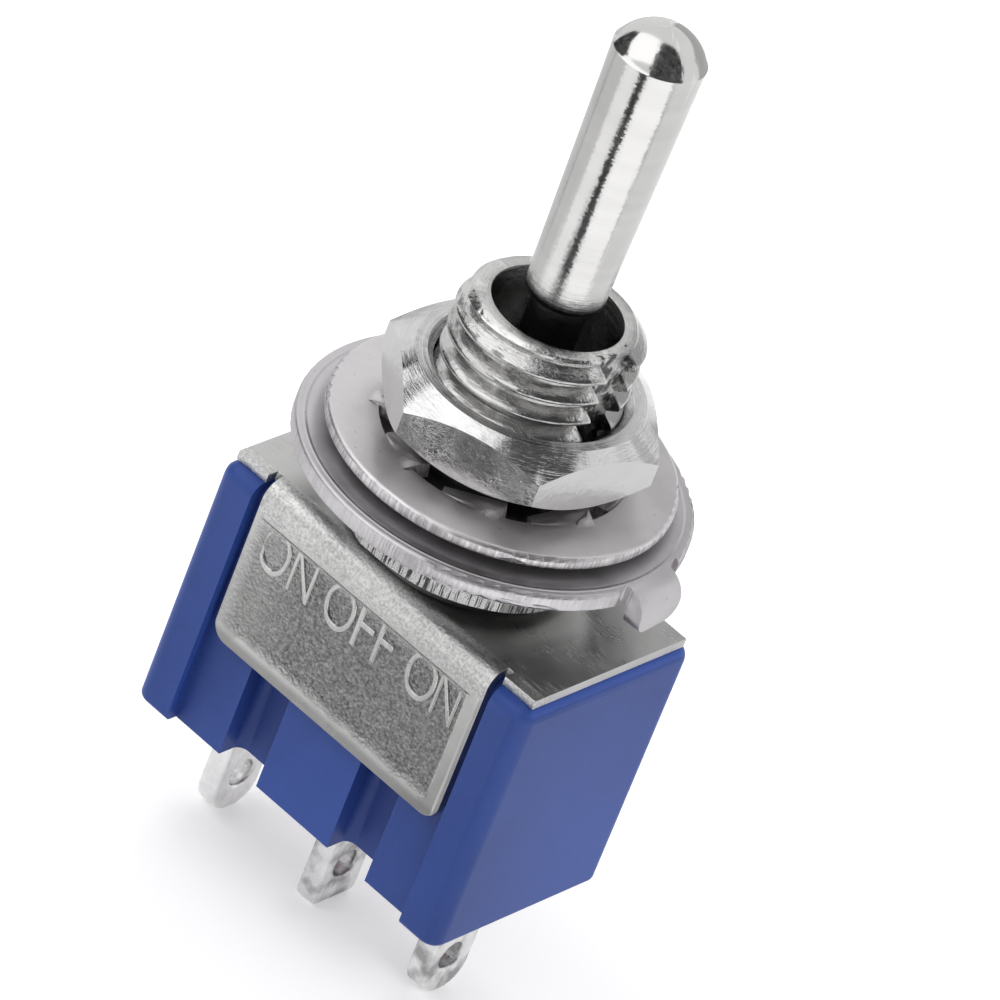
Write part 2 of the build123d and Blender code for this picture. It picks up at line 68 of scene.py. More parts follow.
def length(name, text, default):
    """A length property whose default is given in millimetres."""
    return FloatProperty(name=name, description=text, default=default / MM, unit="LENGTH", precision=5)


def colour(name, text, default):
    """A colour property."""
    return FloatVectorProperty(name=name, description=text, default=default, subtype="COLOR", min=0, max=1)


class SwitchSizes(PropertyGroup):
    """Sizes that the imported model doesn't give by itself."""

    thread_radius: length("Thread radius", "From the axis to the thread's crest", 2.95)
    thread_root: length("Thread root radius", "From the axis to the bottom of the thread", 2.53)
    thread_pitch: length("Thread pitch", "Height of one turn of the thread", 0.75)
    thread_crest: length("Thread start", "Height of a crest of the thread on the right-hand side", 0.34)
    relief_radius: length("Relief radius", "Radius of the plain neck under the thread", 2.5)
    collar_top: length("Collar top", "Height of the collar above the cover", 0.4)
    collar_radius: length("Collar radius", "Radius of the collar", 3.3)
    rim_radius: length("Rim radius", "Outer radius of the bushing's flat rim", 2.5)
    bore_radius: length("Bore radius", "Radius of the bushing's mouth", 2.07)
    lip_radius: length("Lip radius", "Radius of the lip that holds the lever's ball", 1.7)
    keyway_width: length("Keyway width", "Width of the groove down the thread", 1.3)
    keyway_floor: length("Keyway floor", "From the axis to the floor of the groove", 2.45)
    pivot_height: length("Pivot height", "Height of the lever's ball", 4.5)
    ball_radius: length("Ball radius", "Radius of the lever's ball", 2.0)
    tip_radius: length("Lever tip radius", "Radius under the lever's dome", 1.45)
    foot_radius: length("Lever foot radius", "Radius at the foot of the lever's shaft", 1.25)
    neck_radius: length("Lever neck radius", "Radius of the neck over the ball", 0.9)
    nut_flats: length("Nut across flats", "Distance between two opposite flats", 8.0)
    nut_face: length("Nut face radius", "Radius of the flat ring on a nut's face", 3.63)
    letter_height: length("Letter height", "Height of the raised letters", 1.47)


class SwitchColours(PropertyGroup):
    """Base colours of the finishes."""

    nickel: colour("Nickel", "Bright plate on the lever and the bushing", (0.62, 0.615, 0.61))
    plated_steel: colour("Plated steel", "Nuts and washers", (0.58, 0.575, 0.575))
    cover_steel: colour("Cover steel", "Folded cover", (0.56, 0.56, 0.555))
    silver: colour("Silver", "Terminals", (0.78, 0.775, 0.77))
    case_blue: colour("Case blue", "Moulded case", (0.024, 0.060, 0.262))


def sizes():
    """The sizes, in millimetres, by name."""
    held = bpy.context.scene.switch_sizes
    return {key: getattr(held, key) * MM for key in SwitchSizes.__annotations__}


def colours():
    """The colours, by name."""
    held = bpy.context.scene.switch_colours
    return {key: (*getattr(held, key), 1.0) for key in SwitchColours.__annotations__}


# Modelling helpers


def clear_selection():
    """Object mode with nothing selected."""
    if bpy.context.object and bpy.context.object.mode != "OBJECT":
        bpy.ops.object.mode_set(mode="OBJECT")
    bpy.ops.object.select_all(action="DESELECT")


def take(*objects):
    """Selects these objects only; the first is the active one."""
    clear_selection()
    for item in objects:
        item.select_set(True)
    bpy.context.view_layer.objects.active = objects[0]


def named(name):
    """The active object, with a name for it and its data."""
    piece = bpy.context.object
    piece.name = piece.data.name = name
    return piece


def apply_place():
    """Applies the selected objects' place, turn and scale."""
    bpy.ops.object.transform_apply(location=True, rotation=True, scale=True)


def apply_modifier(piece, kind, **settings):
    """Adds a modifier with its settings and applies it."""
    change = piece.modifiers.new(kind.lower(), kind)
    for key, value in settings.items():
        setattr(change, key, value)
    take(piece)
    bpy.ops.object.modifier_apply(modifier=change.name)


def weld(threshold):
    """In edit mode: merges doubled points, turns the faces outwards and leaves edit mode."""
    bpy.ops.mesh.select_all(action="SELECT")
    bpy.ops.mesh.remove_doubles(threshold=threshold)
    bpy.ops.mesh.normals_make_consistent(inside=False)
    bpy.ops.object.mode_set(mode="OBJECT")


def draw_profile(name, points):
    """A chain of edges through (radius, height) points in the XZ plane."""
    clear_selection()
    bpy.ops.mesh.primitive_plane_add(size=0.1)
    piece = named(name)
    bpy.ops.object.mode_set(mode="EDIT")
    bpy.ops.mesh.merge(type="CENTER")
    places = [Vector((radius, 0, height)) for radius, height in points]
    bpy.ops.transform.translate(value=places[0])
    for here, there in zip(places, places[1:]):
        bpy.ops.mesh.extrude_vertices_move(TRANSFORM_OT_translate={"value": there - here})
    bpy.ops.object.mode_set(mode="OBJECT")
    return piece


def spin_profile(name, points, steps):
    """A closed turned shape from a profile of (radius, height) points."""
    piece = draw_profile(name, points)
    bpy.ops.object.mode_set(mode="EDIT")
    bpy.ops.mesh.select_all(action="SELECT")
    bpy.ops.mesh.spin(steps=steps, angle=math.tau, center=(0, 0, 0), axis=(0, 0, 1))
    weld(0.0005)
    return piece


def arc(centre, radius, start, end, count):
    """Points on an arc in the profile plane, angles in degrees from the radius axis."""
    turns = [math.radians(start + (end - start) * step / count) for step in range(count + 1)]
    return [(centre[0] + radius * math.cos(t), centre[1] + radius * math.sin(t)) for t in turns]


def cut(piece, tool, operation="DIFFERENCE"):
    """Applies a boolean with a tool, which is then deleted."""
    apply_modifier(piece, "BOOLEAN", operation=operation, solver="EXACT", object=tool)
    bpy.data.objects.remove(tool, do_unlink=True)


def round_edges(piece, width, angle):
    """Bevels the edges sharper than an angle."""
    apply_modifier(
        piece, "BEVEL", width=width, segments=2, limit_method="ANGLE", angle_limit=math.radians(angle),
        miter_outer="MITER_ARC",
    )


def packed_copy(node, name):
    """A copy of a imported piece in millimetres, with its triangles merged into faces."""
    piece = bpy.data.objects.new(name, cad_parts[node].data.copy())
    bpy.context.scene.collection.objects.link(piece)
    take(piece)
    piece.matrix_world = Matrix.Scale(MM, 4)
    apply_place()
    bpy.ops.object.mode_set(mode="EDIT")
    bpy.ops.mesh.select_all(action="SELECT")
    bpy.ops.mesh.remove_doubles(threshold=0.002)
    bpy.ops.mesh.dissolve_limited(angle_limit=math.radians(0.6))
    bpy.ops.mesh.normals_make_consistent(inside=False)
    bpy.ops.object.mode_set(mode="OBJECT")
    return piece


def settle(piece, body, nodes, material, smooth):
    """Brings a piece to metres, smooths it, gives it its finish and hangs it on its body."""
    take(piece)
    piece.scale = (1 / MM,) * 3
    apply_place()
    bpy.ops.object.shade_smooth_by_angle(angle=math.radians(smooth))
    apply_modifier(piece, "WEIGHTED_NORMAL", keep_sharp=True)
    piece.data.materials.clear()
    piece.data.materials.append(material)
    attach(piece, body)
    if nodes:
        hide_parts(*nodes)


# Shader helpers


class Value:
    """A shader socket that is added, multiplied and compared as a number is, by Math nodes."""

    def __init__(self, tree, socket):
        self.tree = tree
        self.socket = socket

    def __add__(self, other):
        return maths(self.tree, "ADD", self, other)

    def __sub__(self, other):
        return maths(self.tree, "SUBTRACT", self, other)

    def __mul__(self, other):
        return maths(self.tree, "MULTIPLY", self, other)

    def __lt__(self, other):
        return maths(self.tree, "LESS_THAN", self, other)

    def __gt__(self, other):
        return maths(self.tree, "GREATER_THAN", self, other)

    def __abs__(self):
        return maths(self.tree, "ABSOLUTE", self)

    def spread(self, low, high, to_low=0.0, to_high=1.0):
        """This value brought from one range to another, clamped."""
        inputs = {"Value": self, "From Min": low, "From Max": high, "To Min": to_low, "To Max": to_high}
        return output(self.tree, "ShaderNodeMapRange", inputs, "Result")

    def near(self, place, reach, core=0.0):
        """1 within the core round a place, falling to 0 at a reach from it."""
        return abs(self - place).spread(reach, core)


def plug(tree, value, socket):
    """Links a value to a socket, or sets the socket to a number, a vector or a colour."""
    if isinstance(value, Value):
        value = value.socket
    if isinstance(value, bpy.types.NodeSocket):
        tree.links.new(value, socket)
    else:
        socket.default_value = value


def add_node(tree, kind, inputs=None, **settings):
    """Adds a shader node with its settings and its inputs' values or links."""
    node = tree.nodes.new(kind)
    for key, value in settings.items():
        setattr(node, key, value)
    for key, value in (inputs or {}).items():
        plug(tree, value, node.inputs[key])
    return node


def output(tree, kind, inputs=None, socket=0, **settings):
    """Adds a shader node and gives one of its outputs."""
    return Value(tree, add_node(tree, kind, inputs, **settings).outputs[socket])


def maths(tree, operation, *values):
    """A Math node's output."""
    return output(tree, "ShaderNodeMath", dict(enumerate(values)), operation=operation)


def largest(tree, *values):
    """The largest of several values."""
    total = values[0]
    for value in values[1:]:
        total = maths(tree, "MAXIMUM", total, value)
    return total


def vector_maths(tree, operation, *values, **named_values):
    """A Vector Math node's output."""
    inputs = {**dict(enumerate(values)), **named_values}
    return output(tree, "ShaderNodeVectorMath", inputs, operation=operation)


def object_vector(tree):
    """Object coordinates in millimetres, as a vector."""
    return vector_maths(tree, "SCALE", output(tree, "ShaderNodeTexCoord", socket="Object"), Scale=MM)


def object_mm(tree):
    """The X, Y and Z of Object coordinates in millimetres."""
    parts = add_node(tree, "ShaderNodeSeparateXYZ", {0: object_vector(tree)}).outputs
    return [Value(tree, part) for part in parts]


def from_axis(tree):
    """The distance from the Z axis, in millimetres."""
    x, y = object_mm(tree)[:2]
    return maths(tree, "SQRT", x * x + y * y)


def facing_up(tree):
    """The Z part of a face's own normal: 1 on top, 0 on a wall."""
    normal = output(tree, "ShaderNodeNewGeometry", socket="True Normal")
    return output(tree, "ShaderNodeSeparateXYZ", {0: normal}, 2)


def noise(tree, scale, detail=4.0, rough=0.5, vector=None):
    """A noise value, on Object coordinates in millimetres unless a vector is given."""
    place = object_vector(tree) if vector is None else vector
    inputs = {"Vector": place, "Scale": scale, "Detail": detail, "Roughness": rough}
    return output(tree, "ShaderNodeTexNoise", inputs, "Fac")


def cells(tree, scale, **settings):
    """The distance to the nearest point of a cell pattern, with a scale per millimetre."""
    inputs = {"Vector": object_vector(tree), "Scale": scale}
    return output(tree, "ShaderNodeTexVoronoi", inputs, "Distance", **settings)


def combine(tree, *parts):
    """A vector made of three values."""
    return output(tree, "ShaderNodeCombineXYZ", dict(enumerate(parts)))


def mix_colour(tree, amount, first, second):
    """A mixed colour."""
    return output(tree, "ShaderNodeMix", {0: amount, 6: first, 7: second}, 2, data_type="RGBA")


def layered(tree, tone, *layers):
    """A colour with others laid over it, each a pair of its mask and its colour."""
    for mask, paint in layers:
        tone = mix_colour(tree, mask, tone, paint)
    return tone


def shade(base, amount):
    """A colour darkened or lightened by a factor."""
    return (*[min(1.0, part * amount) for part in base[:3]], 1.0)


# Shared effects: node groups that give masks and heights


def new_group(name, **inputs):
    """An empty shader node group, and its inputs by name."""
    tree = bpy.data.node_groups.new(name, "ShaderNodeTree")
    for label, default in inputs.items():
        spaced = label.replace("_", " ")
        socket = tree.interface.new_socket(spaced, in_out="INPUT", socket_type="NodeSocketFloat")
        socket.default_value = default
    given = add_node(tree, "NodeGroupInput").outputs
    return tree, {label: Value(tree, given[label.replace("_", " ")]) for label in inputs}


def group_outputs(tree, **values):
    """Gives a group its outputs, and gives back the group."""
    for label in values:
        tree.interface.new_socket(label, in_out="OUTPUT", socket_type="NodeSocketFloat")
    add_node(tree, "NodeGroupOutput", values)
    return tree


def group_turned_rings():
    """Lathe rings round the Z axis: they follow the height on a wall and the radius on a face."""
    tree, given = new_group("Turned rings", Rings_per_mm=8.0, Seed=0.0)
    x, y, z = object_mm(tree)
    along = from_axis(tree) + z * 0.83
    angle = maths(tree, "ARCTAN2", y, x)
    place = combine(tree, along, angle * 0.12, given["Seed"])
    fine = noise(tree, given["Rings_per_mm"], 5.0, 0.7, place)
    broad = noise(tree, 1.1, 2.0, vector=place)
    uneven = noise(tree, 24.0, 3.0, 0.6, combine(tree, along, angle * 0.35, given["Seed"]))
    return group_outputs(tree, Height=fine, Streaks=broad.spread(0.35, 0.65), Chatter=uneven - 0.5)


def group_plating():
    """Uneven plate: a fine grain, small pits and a cloudy mask."""
    tree, given = new_group("Plating", Cloud_size=1.0, Pit_amount=0.3)
    slow = noise(tree, maths(tree, "DIVIDE", 1.0, given["Cloud_size"]), rough=0.6)
    pits = (cells(tree, 3.2) < given["Pit_amount"] * 0.3) * (noise(tree, 2.0, 3.0) > 0.55)
    height = noise(tree, 18.0, 3.0) * 0.5 - pits
    return group_outputs(tree, Height=height, Cloud=slow.spread(0.3, 0.7), Pits=pits)


def group_sheared_edge():
    """Upright shear marks on the walls of a stamped piece, as a height and a light mask."""
    tree, given = new_group("Sheared edge", Marks_per_mm=6.0)
    drawn_out = vector_maths(tree, "MULTIPLY", object_vector(tree), (1.0, 1.0, 0.07))
    marks = noise(tree, given["Marks_per_mm"], 3.0, 0.65, drawn_out)
    wall = abs(facing_up(tree)).spread(0.75, 0.35)
    return group_outputs(tree, Height=marks * wall, Wall=wall, Marks=marks.spread(0.42, 0.62))


def group_handling():
    """Fine scratches and rubbed corners."""
    tree, given = new_group("Handling", Scratch_amount=0.5)
    vector = object_vector(tree)
    lines = []
    for turn in ((0.3, 0.9, 0.5), (1.3, 0.2, 1.9)):
        inputs = {"Vector": vector, "Rotation": turn, "Scale": (0.6, 9.0, 9.0)}
        turned = output(tree, "ShaderNodeMapping", inputs)
        lines.append(noise(tree, 1.0, 1.5, vector=turned).near(0.5, 0.012))
    scratches = largest(tree, *lines) * noise(tree, 0.6, 2.0).spread(0.45, 0.6) * given["Scratch_amount"]
    pointed = output(tree, "ShaderNodeNewGeometry", socket="Pointiness")
    return group_outputs(tree, Scratches=scratches, Corners=pointed.spread(0.52, 0.6))


def group_stipple():
    """Pressed stipple with a cell size in millimetres."""
    tree, given = new_group("Stipple", Cell_size=0.16)
    pressed = cells(tree, maths(tree, "DIVIDE", 1.0, given["Cell_size"]), feature="SMOOTH_F1")
    return group_outputs(tree, Height=pressed, Tone=noise(tree, 8.0, rough=0.6).spread(0.35, 0.65))


GROUPS = {
    "rings": group_turned_rings,
    "plating": group_plating,
    "shear": group_sheared_edge,
    "handling": group_handling,
    "stipple": group_stipple,
}
made_groups = {}


def effect(tree, key, **inputs):
    """Places a shared effect in a material with its own values; gives its outputs by name."""
    if key not in made_groups:
        made_groups[key] = GROUPS[key]()
    node = add_node(tree, "ShaderNodeGroup", node_tree=made_groups[key])
    for label, value in inputs.items():
        node.inputs[label.replace("_", " ")].default_value = value
    return {socket.name: Value(tree, socket) for socket in node.outputs}


# Finishes

finishes = {}


def blank_material(name, **values):
    """A material with its Principled shader set to plain values; gives both and the tree."""
    material = bpy.data.materials.new(name)
    material.use_nodes = True
    tree = material.node_tree
    shader = tree.nodes["Principled BSDF"]
    for key, value in values.items():
        shader.inputs[key.replace("_", " ")].default_value = value
    return material, tree, shader


def feed(tree, shader, tone, dull, heights, distance, sideways=None):
    """Feeds the shader its colour, its roughness and the bump of (height, weight) pairs.

    distance is in millimetres; sideways turns the normal round the piece's axis by a small, uneven amount.
    """
    total = 0.0
    for height, weight in heights:
        total = height * weight + total
    relief = {"Height": total, "Strength": 1.0, "Distance": distance / MM}
    if sideways is not None:
        normal = output(tree, "ShaderNodeNewGeometry", socket="Normal")
        across = vector_maths(tree, "CROSS_PRODUCT", (0.0, 0.0, 1.0), normal)
        moved = vector_maths(tree, "SCALE", across, Scale=sideways)
        relief["Normal"] = vector_maths(tree, "NORMALIZE", vector_maths(tree, "ADD", normal, moved))
    normal = output(tree, "ShaderNodeBump", relief)
    for label, value in (("Base Color", tone), ("Roughness", dull), ("Normal", normal)):
        plug(tree, value, shader.inputs[label])


def turned_metal(
    name, base, rough, rings, ring_depth, seed=0.0, cloud=0.12, pits=0.2, scratch=0.4, chatter=0.1,
    mottle=0.0, shade_and_dirt=None, deeper=None, marks=0.0, faceted=False,
):
    """Plated metal that was turned: rings, chatter, uneven plate and light handling.

    The darkening function and deeper are functions of the tree that give masks of where the piece is darkened,
    with painted shade and some dirt, and dull, and where its rings are deeper. A faceted piece is mottled on
    its walls only, and marks is the contrast of upright marks on them.
    """
    material, tree, shader = blank_material(name, Metallic=1.0)
    ring = effect(tree, "rings", Rings_per_mm=rings, Seed=seed)
    plate = effect(tree, "plating", Cloud_size=1.3, Pit_amount=pits)
    wear = effect(tree, "handling", Scratch_amount=scratch)
    cut_wall = effect(tree, "shear", Marks_per_mm=10.0) if faceted else None
    tone = layered(
        tree,
        mix_colour(tree, ring["Streaks"], shade(base, 1 - cloud), base),
        (plate["Pits"], shade(base, 0.25)),
        (wear["Corners"], shade(base, 1.12)),
    )
    dull = plate["Cloud"] * (rough * 0.5) + rough * 0.75 + wear["Scratches"] * 0.12 + plate["Pits"] * 0.3
    if marks:
        light = cut_wall["Marks"].spread(0.0, 0.4)
        marked = mix_colour(tree, light, shade(base, 1 - marks), shade(base, 1 + marks / 4))
        tone = mix_colour(tree, cut_wall["Wall"], tone, marked)
    # Painted shade, with some dirt on the bushing: the mask darkens the colour and dulls it
    if shade_and_dirt:
        dark = shade_and_dirt(tree)
        tone = mix_colour(tree, dark, tone, shade(base, 0.16))
        dull = dull + dark * 0.2
    ring_height = ring["Height"] * deeper(tree) if deeper else ring["Height"]
    heights = [(ring_height, 1.0), (plate["Height"], 0.25), (wear["Scratches"], -0.3)]
    if mottle:
        lumps = noise(tree, 3.2, 5.0, 0.55)
        heights.append((lumps * cut_wall["Wall"] if faceted else lumps, mottle))
    feed(tree, shader, tone, dull, heights, ring_depth, ring["Chatter"] * chatter)
    return material


def pressed_metal(
    name, base, rough, depth, marks=6.0, cloud=0.15, contrast=0.5, plain_past=None, ridge=None, dull_in=None,
):
    """Plated sheet: satin faces with a fine grain, and upright shear marks on the cut walls.

    Walls further out than plain_past have no marks; ridge is the radius of a low ridge pressed round the
    piece, and nearer in than dull_in it is duller.
    """
    material, tree, shader = blank_material(name, Metallic=1.0)
    plate = effect(tree, "plating", Cloud_size=1.8, Pit_amount=0.25)
    cut_wall = effect(tree, "shear", Marks_per_mm=marks)
    wear = effect(tree, "handling", Scratch_amount=0.5)
    radius, wall = from_axis(tree), cut_wall["Wall"]
    if plain_past:
        wall = wall * (radius < plain_past)
    marked = mix_colour(tree, cut_wall["Marks"], shade(base, 1 - contrast), shade(base, 1 + contrast / 2))
    tone = layered(
        tree,
        mix_colour(tree, plate["Cloud"], shade(base, 1 - cloud), base),
        (wall, marked),
        (plate["Pits"], shade(base, 0.35)),
        # Painted shade: faces turned downwards are darkened
        (facing_up(tree).spread(-0.6, -0.9), shade(base, 0.3)),
    )
    dull = plate["Cloud"] * (rough * 0.4) + rough * 0.8 - wear["Scratches"] * 0.1
    if dull_in:
        dull = dull + radius.spread(dull_in, dull_in - 0.2) * 0.25
    heights = [(cut_wall["Height"] * wall, 2.0), (plate["Height"], 0.6), (wear["Scratches"], -0.4)]
    if ridge:
        heights.append((radius.near(ridge, 0.08), 1.3))
    feed(tree, shader, tone, dull, heights, depth)
    return material


def plain_metal(name, base, rough, tarnish_and_shade=0.0, darkened_past=-2.5):
    """Soft plated metal with cloudy tone, small dimples and handling marks, and dark patches right of an X,
    partly tarnish and partly painted shade.
    """
    material, tree, shader = blank_material(name, Metallic=1.0)
    plate = effect(tree, "plating", Cloud_size=0.7, Pit_amount=0.15)
    wear = effect(tree, "handling", Scratch_amount=0.4)
    tone = mix_colour(tree, plate["Cloud"], shade(base, 0.85), shade(base, 1.08))
    tone = mix_colour(tree, wear["Corners"], tone, shade(base, 1.15))
    # Dark patches, partly tarnish and partly painted shade
    if tarnish_and_shade:
        right = object_mm(tree)[0] > darkened_past
        stain_and_shade = noise(tree, 1.1, 3.0).spread(0.46, 0.62) * right * tarnish_and_shade
        tone = mix_colour(tree, stain_and_shade, tone, shade(base, 0.3))
    dull = plate["Cloud"] * (rough * 0.5) + rough * 0.7 + wear["Scratches"] * 0.1
    heights = [(noise(tree, 1.6, 3.0), 4.0), (plate["Height"], 0.5), (wear["Scratches"], -0.4)]
    feed(tree, shader, tone, dull, heights, 0.02)
    return material


def cover_metal(base):
    """The cover's steel: bright and smooth, with a stippled sunk panel at the front and the back bare."""
    material, tree, shader = blank_material("cover_steel", Metallic=1.0)
    x, y, z = object_mm(tree)
    face = box_mm("cover")[0].y
    panel_left, panel_right, panel_top, panel_bottom, bead_x = -4.7, 4.3, -1.2, -5.2, 4.75
    stipple = effect(tree, "stipple", Cell_size=0.10)
    plate = effect(tree, "plating", Cloud_size=2.2, Pit_amount=0.2)
    wear = effect(tree, "handling", Scratch_amount=0.8)
    grain = noise(tree, 11.0, 6.0, 0.6)
    wobble = noise(tree, 1.3, rough=0.6) * 0.5 - 0.25
    left, foot, front = x + wobble, z + wobble, y < face + 0.2
    below_fold = z.spread(-0.9, -1.5)
    inside = front * left.spread(panel_left - 0.15, panel_left + 0.35)
    inside = inside * x.spread(panel_right + 0.03, panel_right - 0.03)
    inside = inside * z.spread(panel_top, panel_top - 0.04)
    inside = inside * foot.spread(panel_bottom - 0.2, panel_bottom + 0.15)
    # Painted shade along the arm's bottom and left margins
    shaded_margin = largest(tree, z.spread(-5.45, -5.65), x.spread(-4.75, -5.0)) * front * below_fold
    # Painted light: the panel's left part is lighter, and its stipple shallower
    left_smooth_and_painted_light = left.spread(-2.0, -4.2) * 0.6
    pressed = mix_colour(tree, stipple["Tone"], shade(base, 0.28), shade(base, 0.62))
    pressed = mix_colour(tree, left_smooth_and_painted_light, pressed, shade(base, 0.72))
    bend = z.spread(-1.6, -0.9) * (y < face + 0.7)
    # Painted shade: a thin dark line along the sunk panel's top edge
    panel_edge_shade = z.near(panel_top - 0.01, 0.035, 0.015) * front * x.spread(panel_right + 0.15, panel_right)
    panel_edge_shade = panel_edge_shade * left.spread(panel_left - 0.1, panel_left + 0.3)
    tone = layered(
        tree,
        mix_colour(tree, plate["Cloud"], shade(base, 0.88), base),
        (shaded_margin, shade(base, 0.66)),
        (inside, pressed),
        # Painted highlight along the fold
        (bend * 0.6, shade(base, 1.4)),
        (panel_edge_shade, shade(base, 0.2)),
        (bend * grain.spread(0.60, 0.36), shade(base, 0.78)),
    )
    dull = plate["Cloud"] * 0.10 + 0.24 + inside * 0.04 + bend * 0.03 + wear["Scratches"] * 0.1
    bead = x.near(bead_x, 0.09) * front * below_fold
    heights = [(stipple["Height"] * inside * (left_smooth_and_painted_light * -1.0 + 1.0), 7.0), (plate["Height"], 0.5)]
    heights += [(wear["Scratches"], -0.3), (bead, 2.5), (grain * bend, 1.6)]
    feed(tree, shader, tone, dull, heights, 0.012)
    return material


def case_plastic(base):
    """Satin moulded blue with a fine skin, faint flow and rubbed corners."""
    material, tree, shader = blank_material("case_blue", IOR=1.5, Specular_IOR_Level=0.28)
    skin = noise(tree, 14.0)
    flow = noise(tree, 0.5, 3.0).spread(0.35, 0.65)
    wear = effect(tree, "handling", Scratch_amount=0.4)
    tone = mix_colour(tree, flow, shade(base, 0.93), shade(base, 1.06))
    tone = mix_colour(tree, wear["Corners"], tone, shade(base, 1.35))
    dull = skin * 0.12 + 0.36 + wear["Scratches"] * 0.1
    feed(tree, shader, tone, dull, [(skin, 1.0), (wear["Scratches"], -0.4)], 0.008)
    return material


def plain_plastic(name, base, rough):
    """Small moulded or poured pieces inside and under the case."""
    material, tree, shader = blank_material(name, IOR=1.5)
    cloud = noise(tree, 1.5)
    tone = mix_colour(tree, cloud.spread(0.35, 0.65), shade(base, 0.85), shade(base, 1.1))
    feed(tree, shader, tone, cloud * 0.15 + rough, [(cloud, 1.0)], 0.02)
    return material


def keyway_mask(tree):
    """The keyway and its torn edges."""
    s = sizes()
    x, y = object_mm(tree)[:2]
    half, wall = s["keyway_width"] / 2, s["bore_radius"] + 0.23
    across = abs(y) + (noise(tree, 2.5, rough=0.6) * 0.7 - 0.35)
    return across.spread(half + 0.12, half) * (x > 0.0) * (from_axis(tree) > wall)


def bushing_shade_and_dirt(tree):
    """Painted shade inside the bore and under the nut, dark torn pits in the keyway, and painted dark
    reflections in specks between the upper turns on the left.
    """
    x, y, z = object_mm(tree)
    radius, bore, top = from_axis(tree), sizes()["bore_radius"], box_mm("bushing")[1].z
    # Painted shade on the wall of the bore
    inside = radius.spread(bore + 0.02, bore - 0.01) * z.spread(top - 0.08, top - 0.2)
    # Painted shade on the thread under the nut
    painted_shade_under_nut = z.spread(4.6, 4.2)
    torn = keyway_mask(tree) * noise(tree, 2.2, rough=0.6).spread(0.50, 0.56)
    # Painted dark reflections: specks between the upper turns on the left
    left = y.spread(-0.4, -1.5)
    high = z.spread(6.6, 7.6) * z.spread(8.8, 9.05, 1.0, 0.3)
    drawn_round = combine(tree, maths(tree, "ARCTAN2", y, x) * 3.2, z * 8.0, radius)
    painted_reflection_specks = noise(tree, 1.0, 5.0, 0.65, drawn_round).spread(0.52, 0.60)
    return largest(tree, inside * 0.32, painted_shade_under_nut, torn, painted_reflection_specks * high * left * 0.75)


def bushing_rings(tree):
    """Deeper rings at the bushing's mouth."""
    return object_mm(tree)[2].spread(8.2, 8.8) * 1.2 + 1.0


def lever_painted_shade(tree):
    """Painted shade from the foot of the shaft down, with a ragged edge."""
    return (noise(tree, 3.5, rough=0.6) * -0.9 + object_mm(tree)[2]).spread(9.85, 9.35)


def lever_rings(tree):
    """Deeper rings towards the foot of the lever's shaft."""
    return object_mm(tree)[2].spread(11.6, 9.9) * 4.5 + 0.7


def nut_rings(tree):
    """Rings on the nuts' turned faces only."""
    return abs(facing_up(tree)).spread(0.3, 0.6, 0.0, 3.0)


def make_finishes():
    """Every finish, by a plain name."""
    paint = colours()
    nickel, plated = paint["nickel"], paint["plated_steel"]
    steel, silver = paint["cover_steel"], paint["silver"]
    finishes["lever"] = turned_metal(
        "lever_nickel", nickel, 0.14, 9.0, 0.004, pits=0.0, cloud=0.08, scratch=0.25, chatter=0.27,
        shade_and_dirt=lever_painted_shade, deeper=lever_rings,
    )
    finishes["bushing"] = turned_metal(
        "bushing_nickel", nickel, 0.14, 9.0, 0.018, seed=3.0, pits=0.2, cloud=0.3, mottle=1.2,
        shade_and_dirt=bushing_shade_and_dirt, deeper=bushing_rings,
    )
    finishes["nut"] = turned_metal(
        "nut_nickel", plated, 0.19, 9.0, 0.016, seed=7.0, pits=0.25, cloud=0.3, mottle=0.8, chatter=0.015,
        deeper=nut_rings, faceted=True,
    )
    finishes["lower_nut"] = turned_metal(
        "lower_nut_nickel", plated, 0.22, 6.0, 0.020, seed=7.0, pits=0.25, cloud=0.25, mottle=0.3,
        chatter=0.04, deeper=nut_rings, marks=0.85, faceted=True,
    )
    finishes["washer"] = pressed_metal(
        "washer_steel", (0.62, 0.60, 0.62, 1), 0.40, 0.014, marks=9.0, contrast=0.10, plain_past=6.4,
        ridge=6.0, dull_in=5.8,
    )
    finishes["lock_washer"] = pressed_metal(
        "lock_washer_steel", (0.70, 0.68, 0.695, 1), 0.36, 0.014, marks=9.0, contrast=0.3, dull_in=4.05
    )
    finishes["cover"] = cover_metal(steel)
    finishes["legend"] = pressed_metal("cover_letters", shade(steel, 1.02), 0.26, 0.010, contrast=0.1)
    finishes["terminal"] = plain_metal("terminal_silver", silver, 0.36, tarnish_and_shade=0.8)
    finishes["case"] = case_plastic(paint["case_blue"])
    finishes["seal"] = plain_plastic("seal_resin", (0.22, 0.045, 0.035, 1), 0.35)
    finishes["plunger"] = plain_plastic("plunger_plastic", (0.80, 0.77, 0.68, 1), 0.4)
    finishes["brass"] = plain_metal("contact_brass", (0.75, 0.52, 0.22, 1), 0.25)
    finishes["silver"] = plain_metal("contact_silver", silver, 0.25)
    finishes["spring"] = plain_metal("spring_steel", (0.45, 0.45, 0.46, 1), 0.3)


# Pieces

# How far the cover's front panel is sunk, in millimetres
PANEL_DEPTH = 0.08

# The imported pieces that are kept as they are, and their finishes
CARRIED_OVER = {
    "terminal_seal": "seal",
    "plunger": "plunger",
    "plunger_spring": "spring",
    "rocker": "brass",
    "saddle": "brass",
    "rocker_contact_left": "silver",
    "rocker_contact_right": "silver",
    "fixed_contact_left": "silver",
    "fixed_contact_right": "silver",
}


class SWITCH_OT_finishes(Operator):
    """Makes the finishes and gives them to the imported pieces"""

    bl_idname = "switch.finishes"
    bl_label = "Finishes"

    def execute(self, context):
        made_groups.clear()
        make_finishes()
        for node, finish in CARRIED_OVER.items():
            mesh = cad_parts[node].data
            mesh.materials.clear()
            mesh.materials.append(finishes[finish])
        return {"FINISHED"}


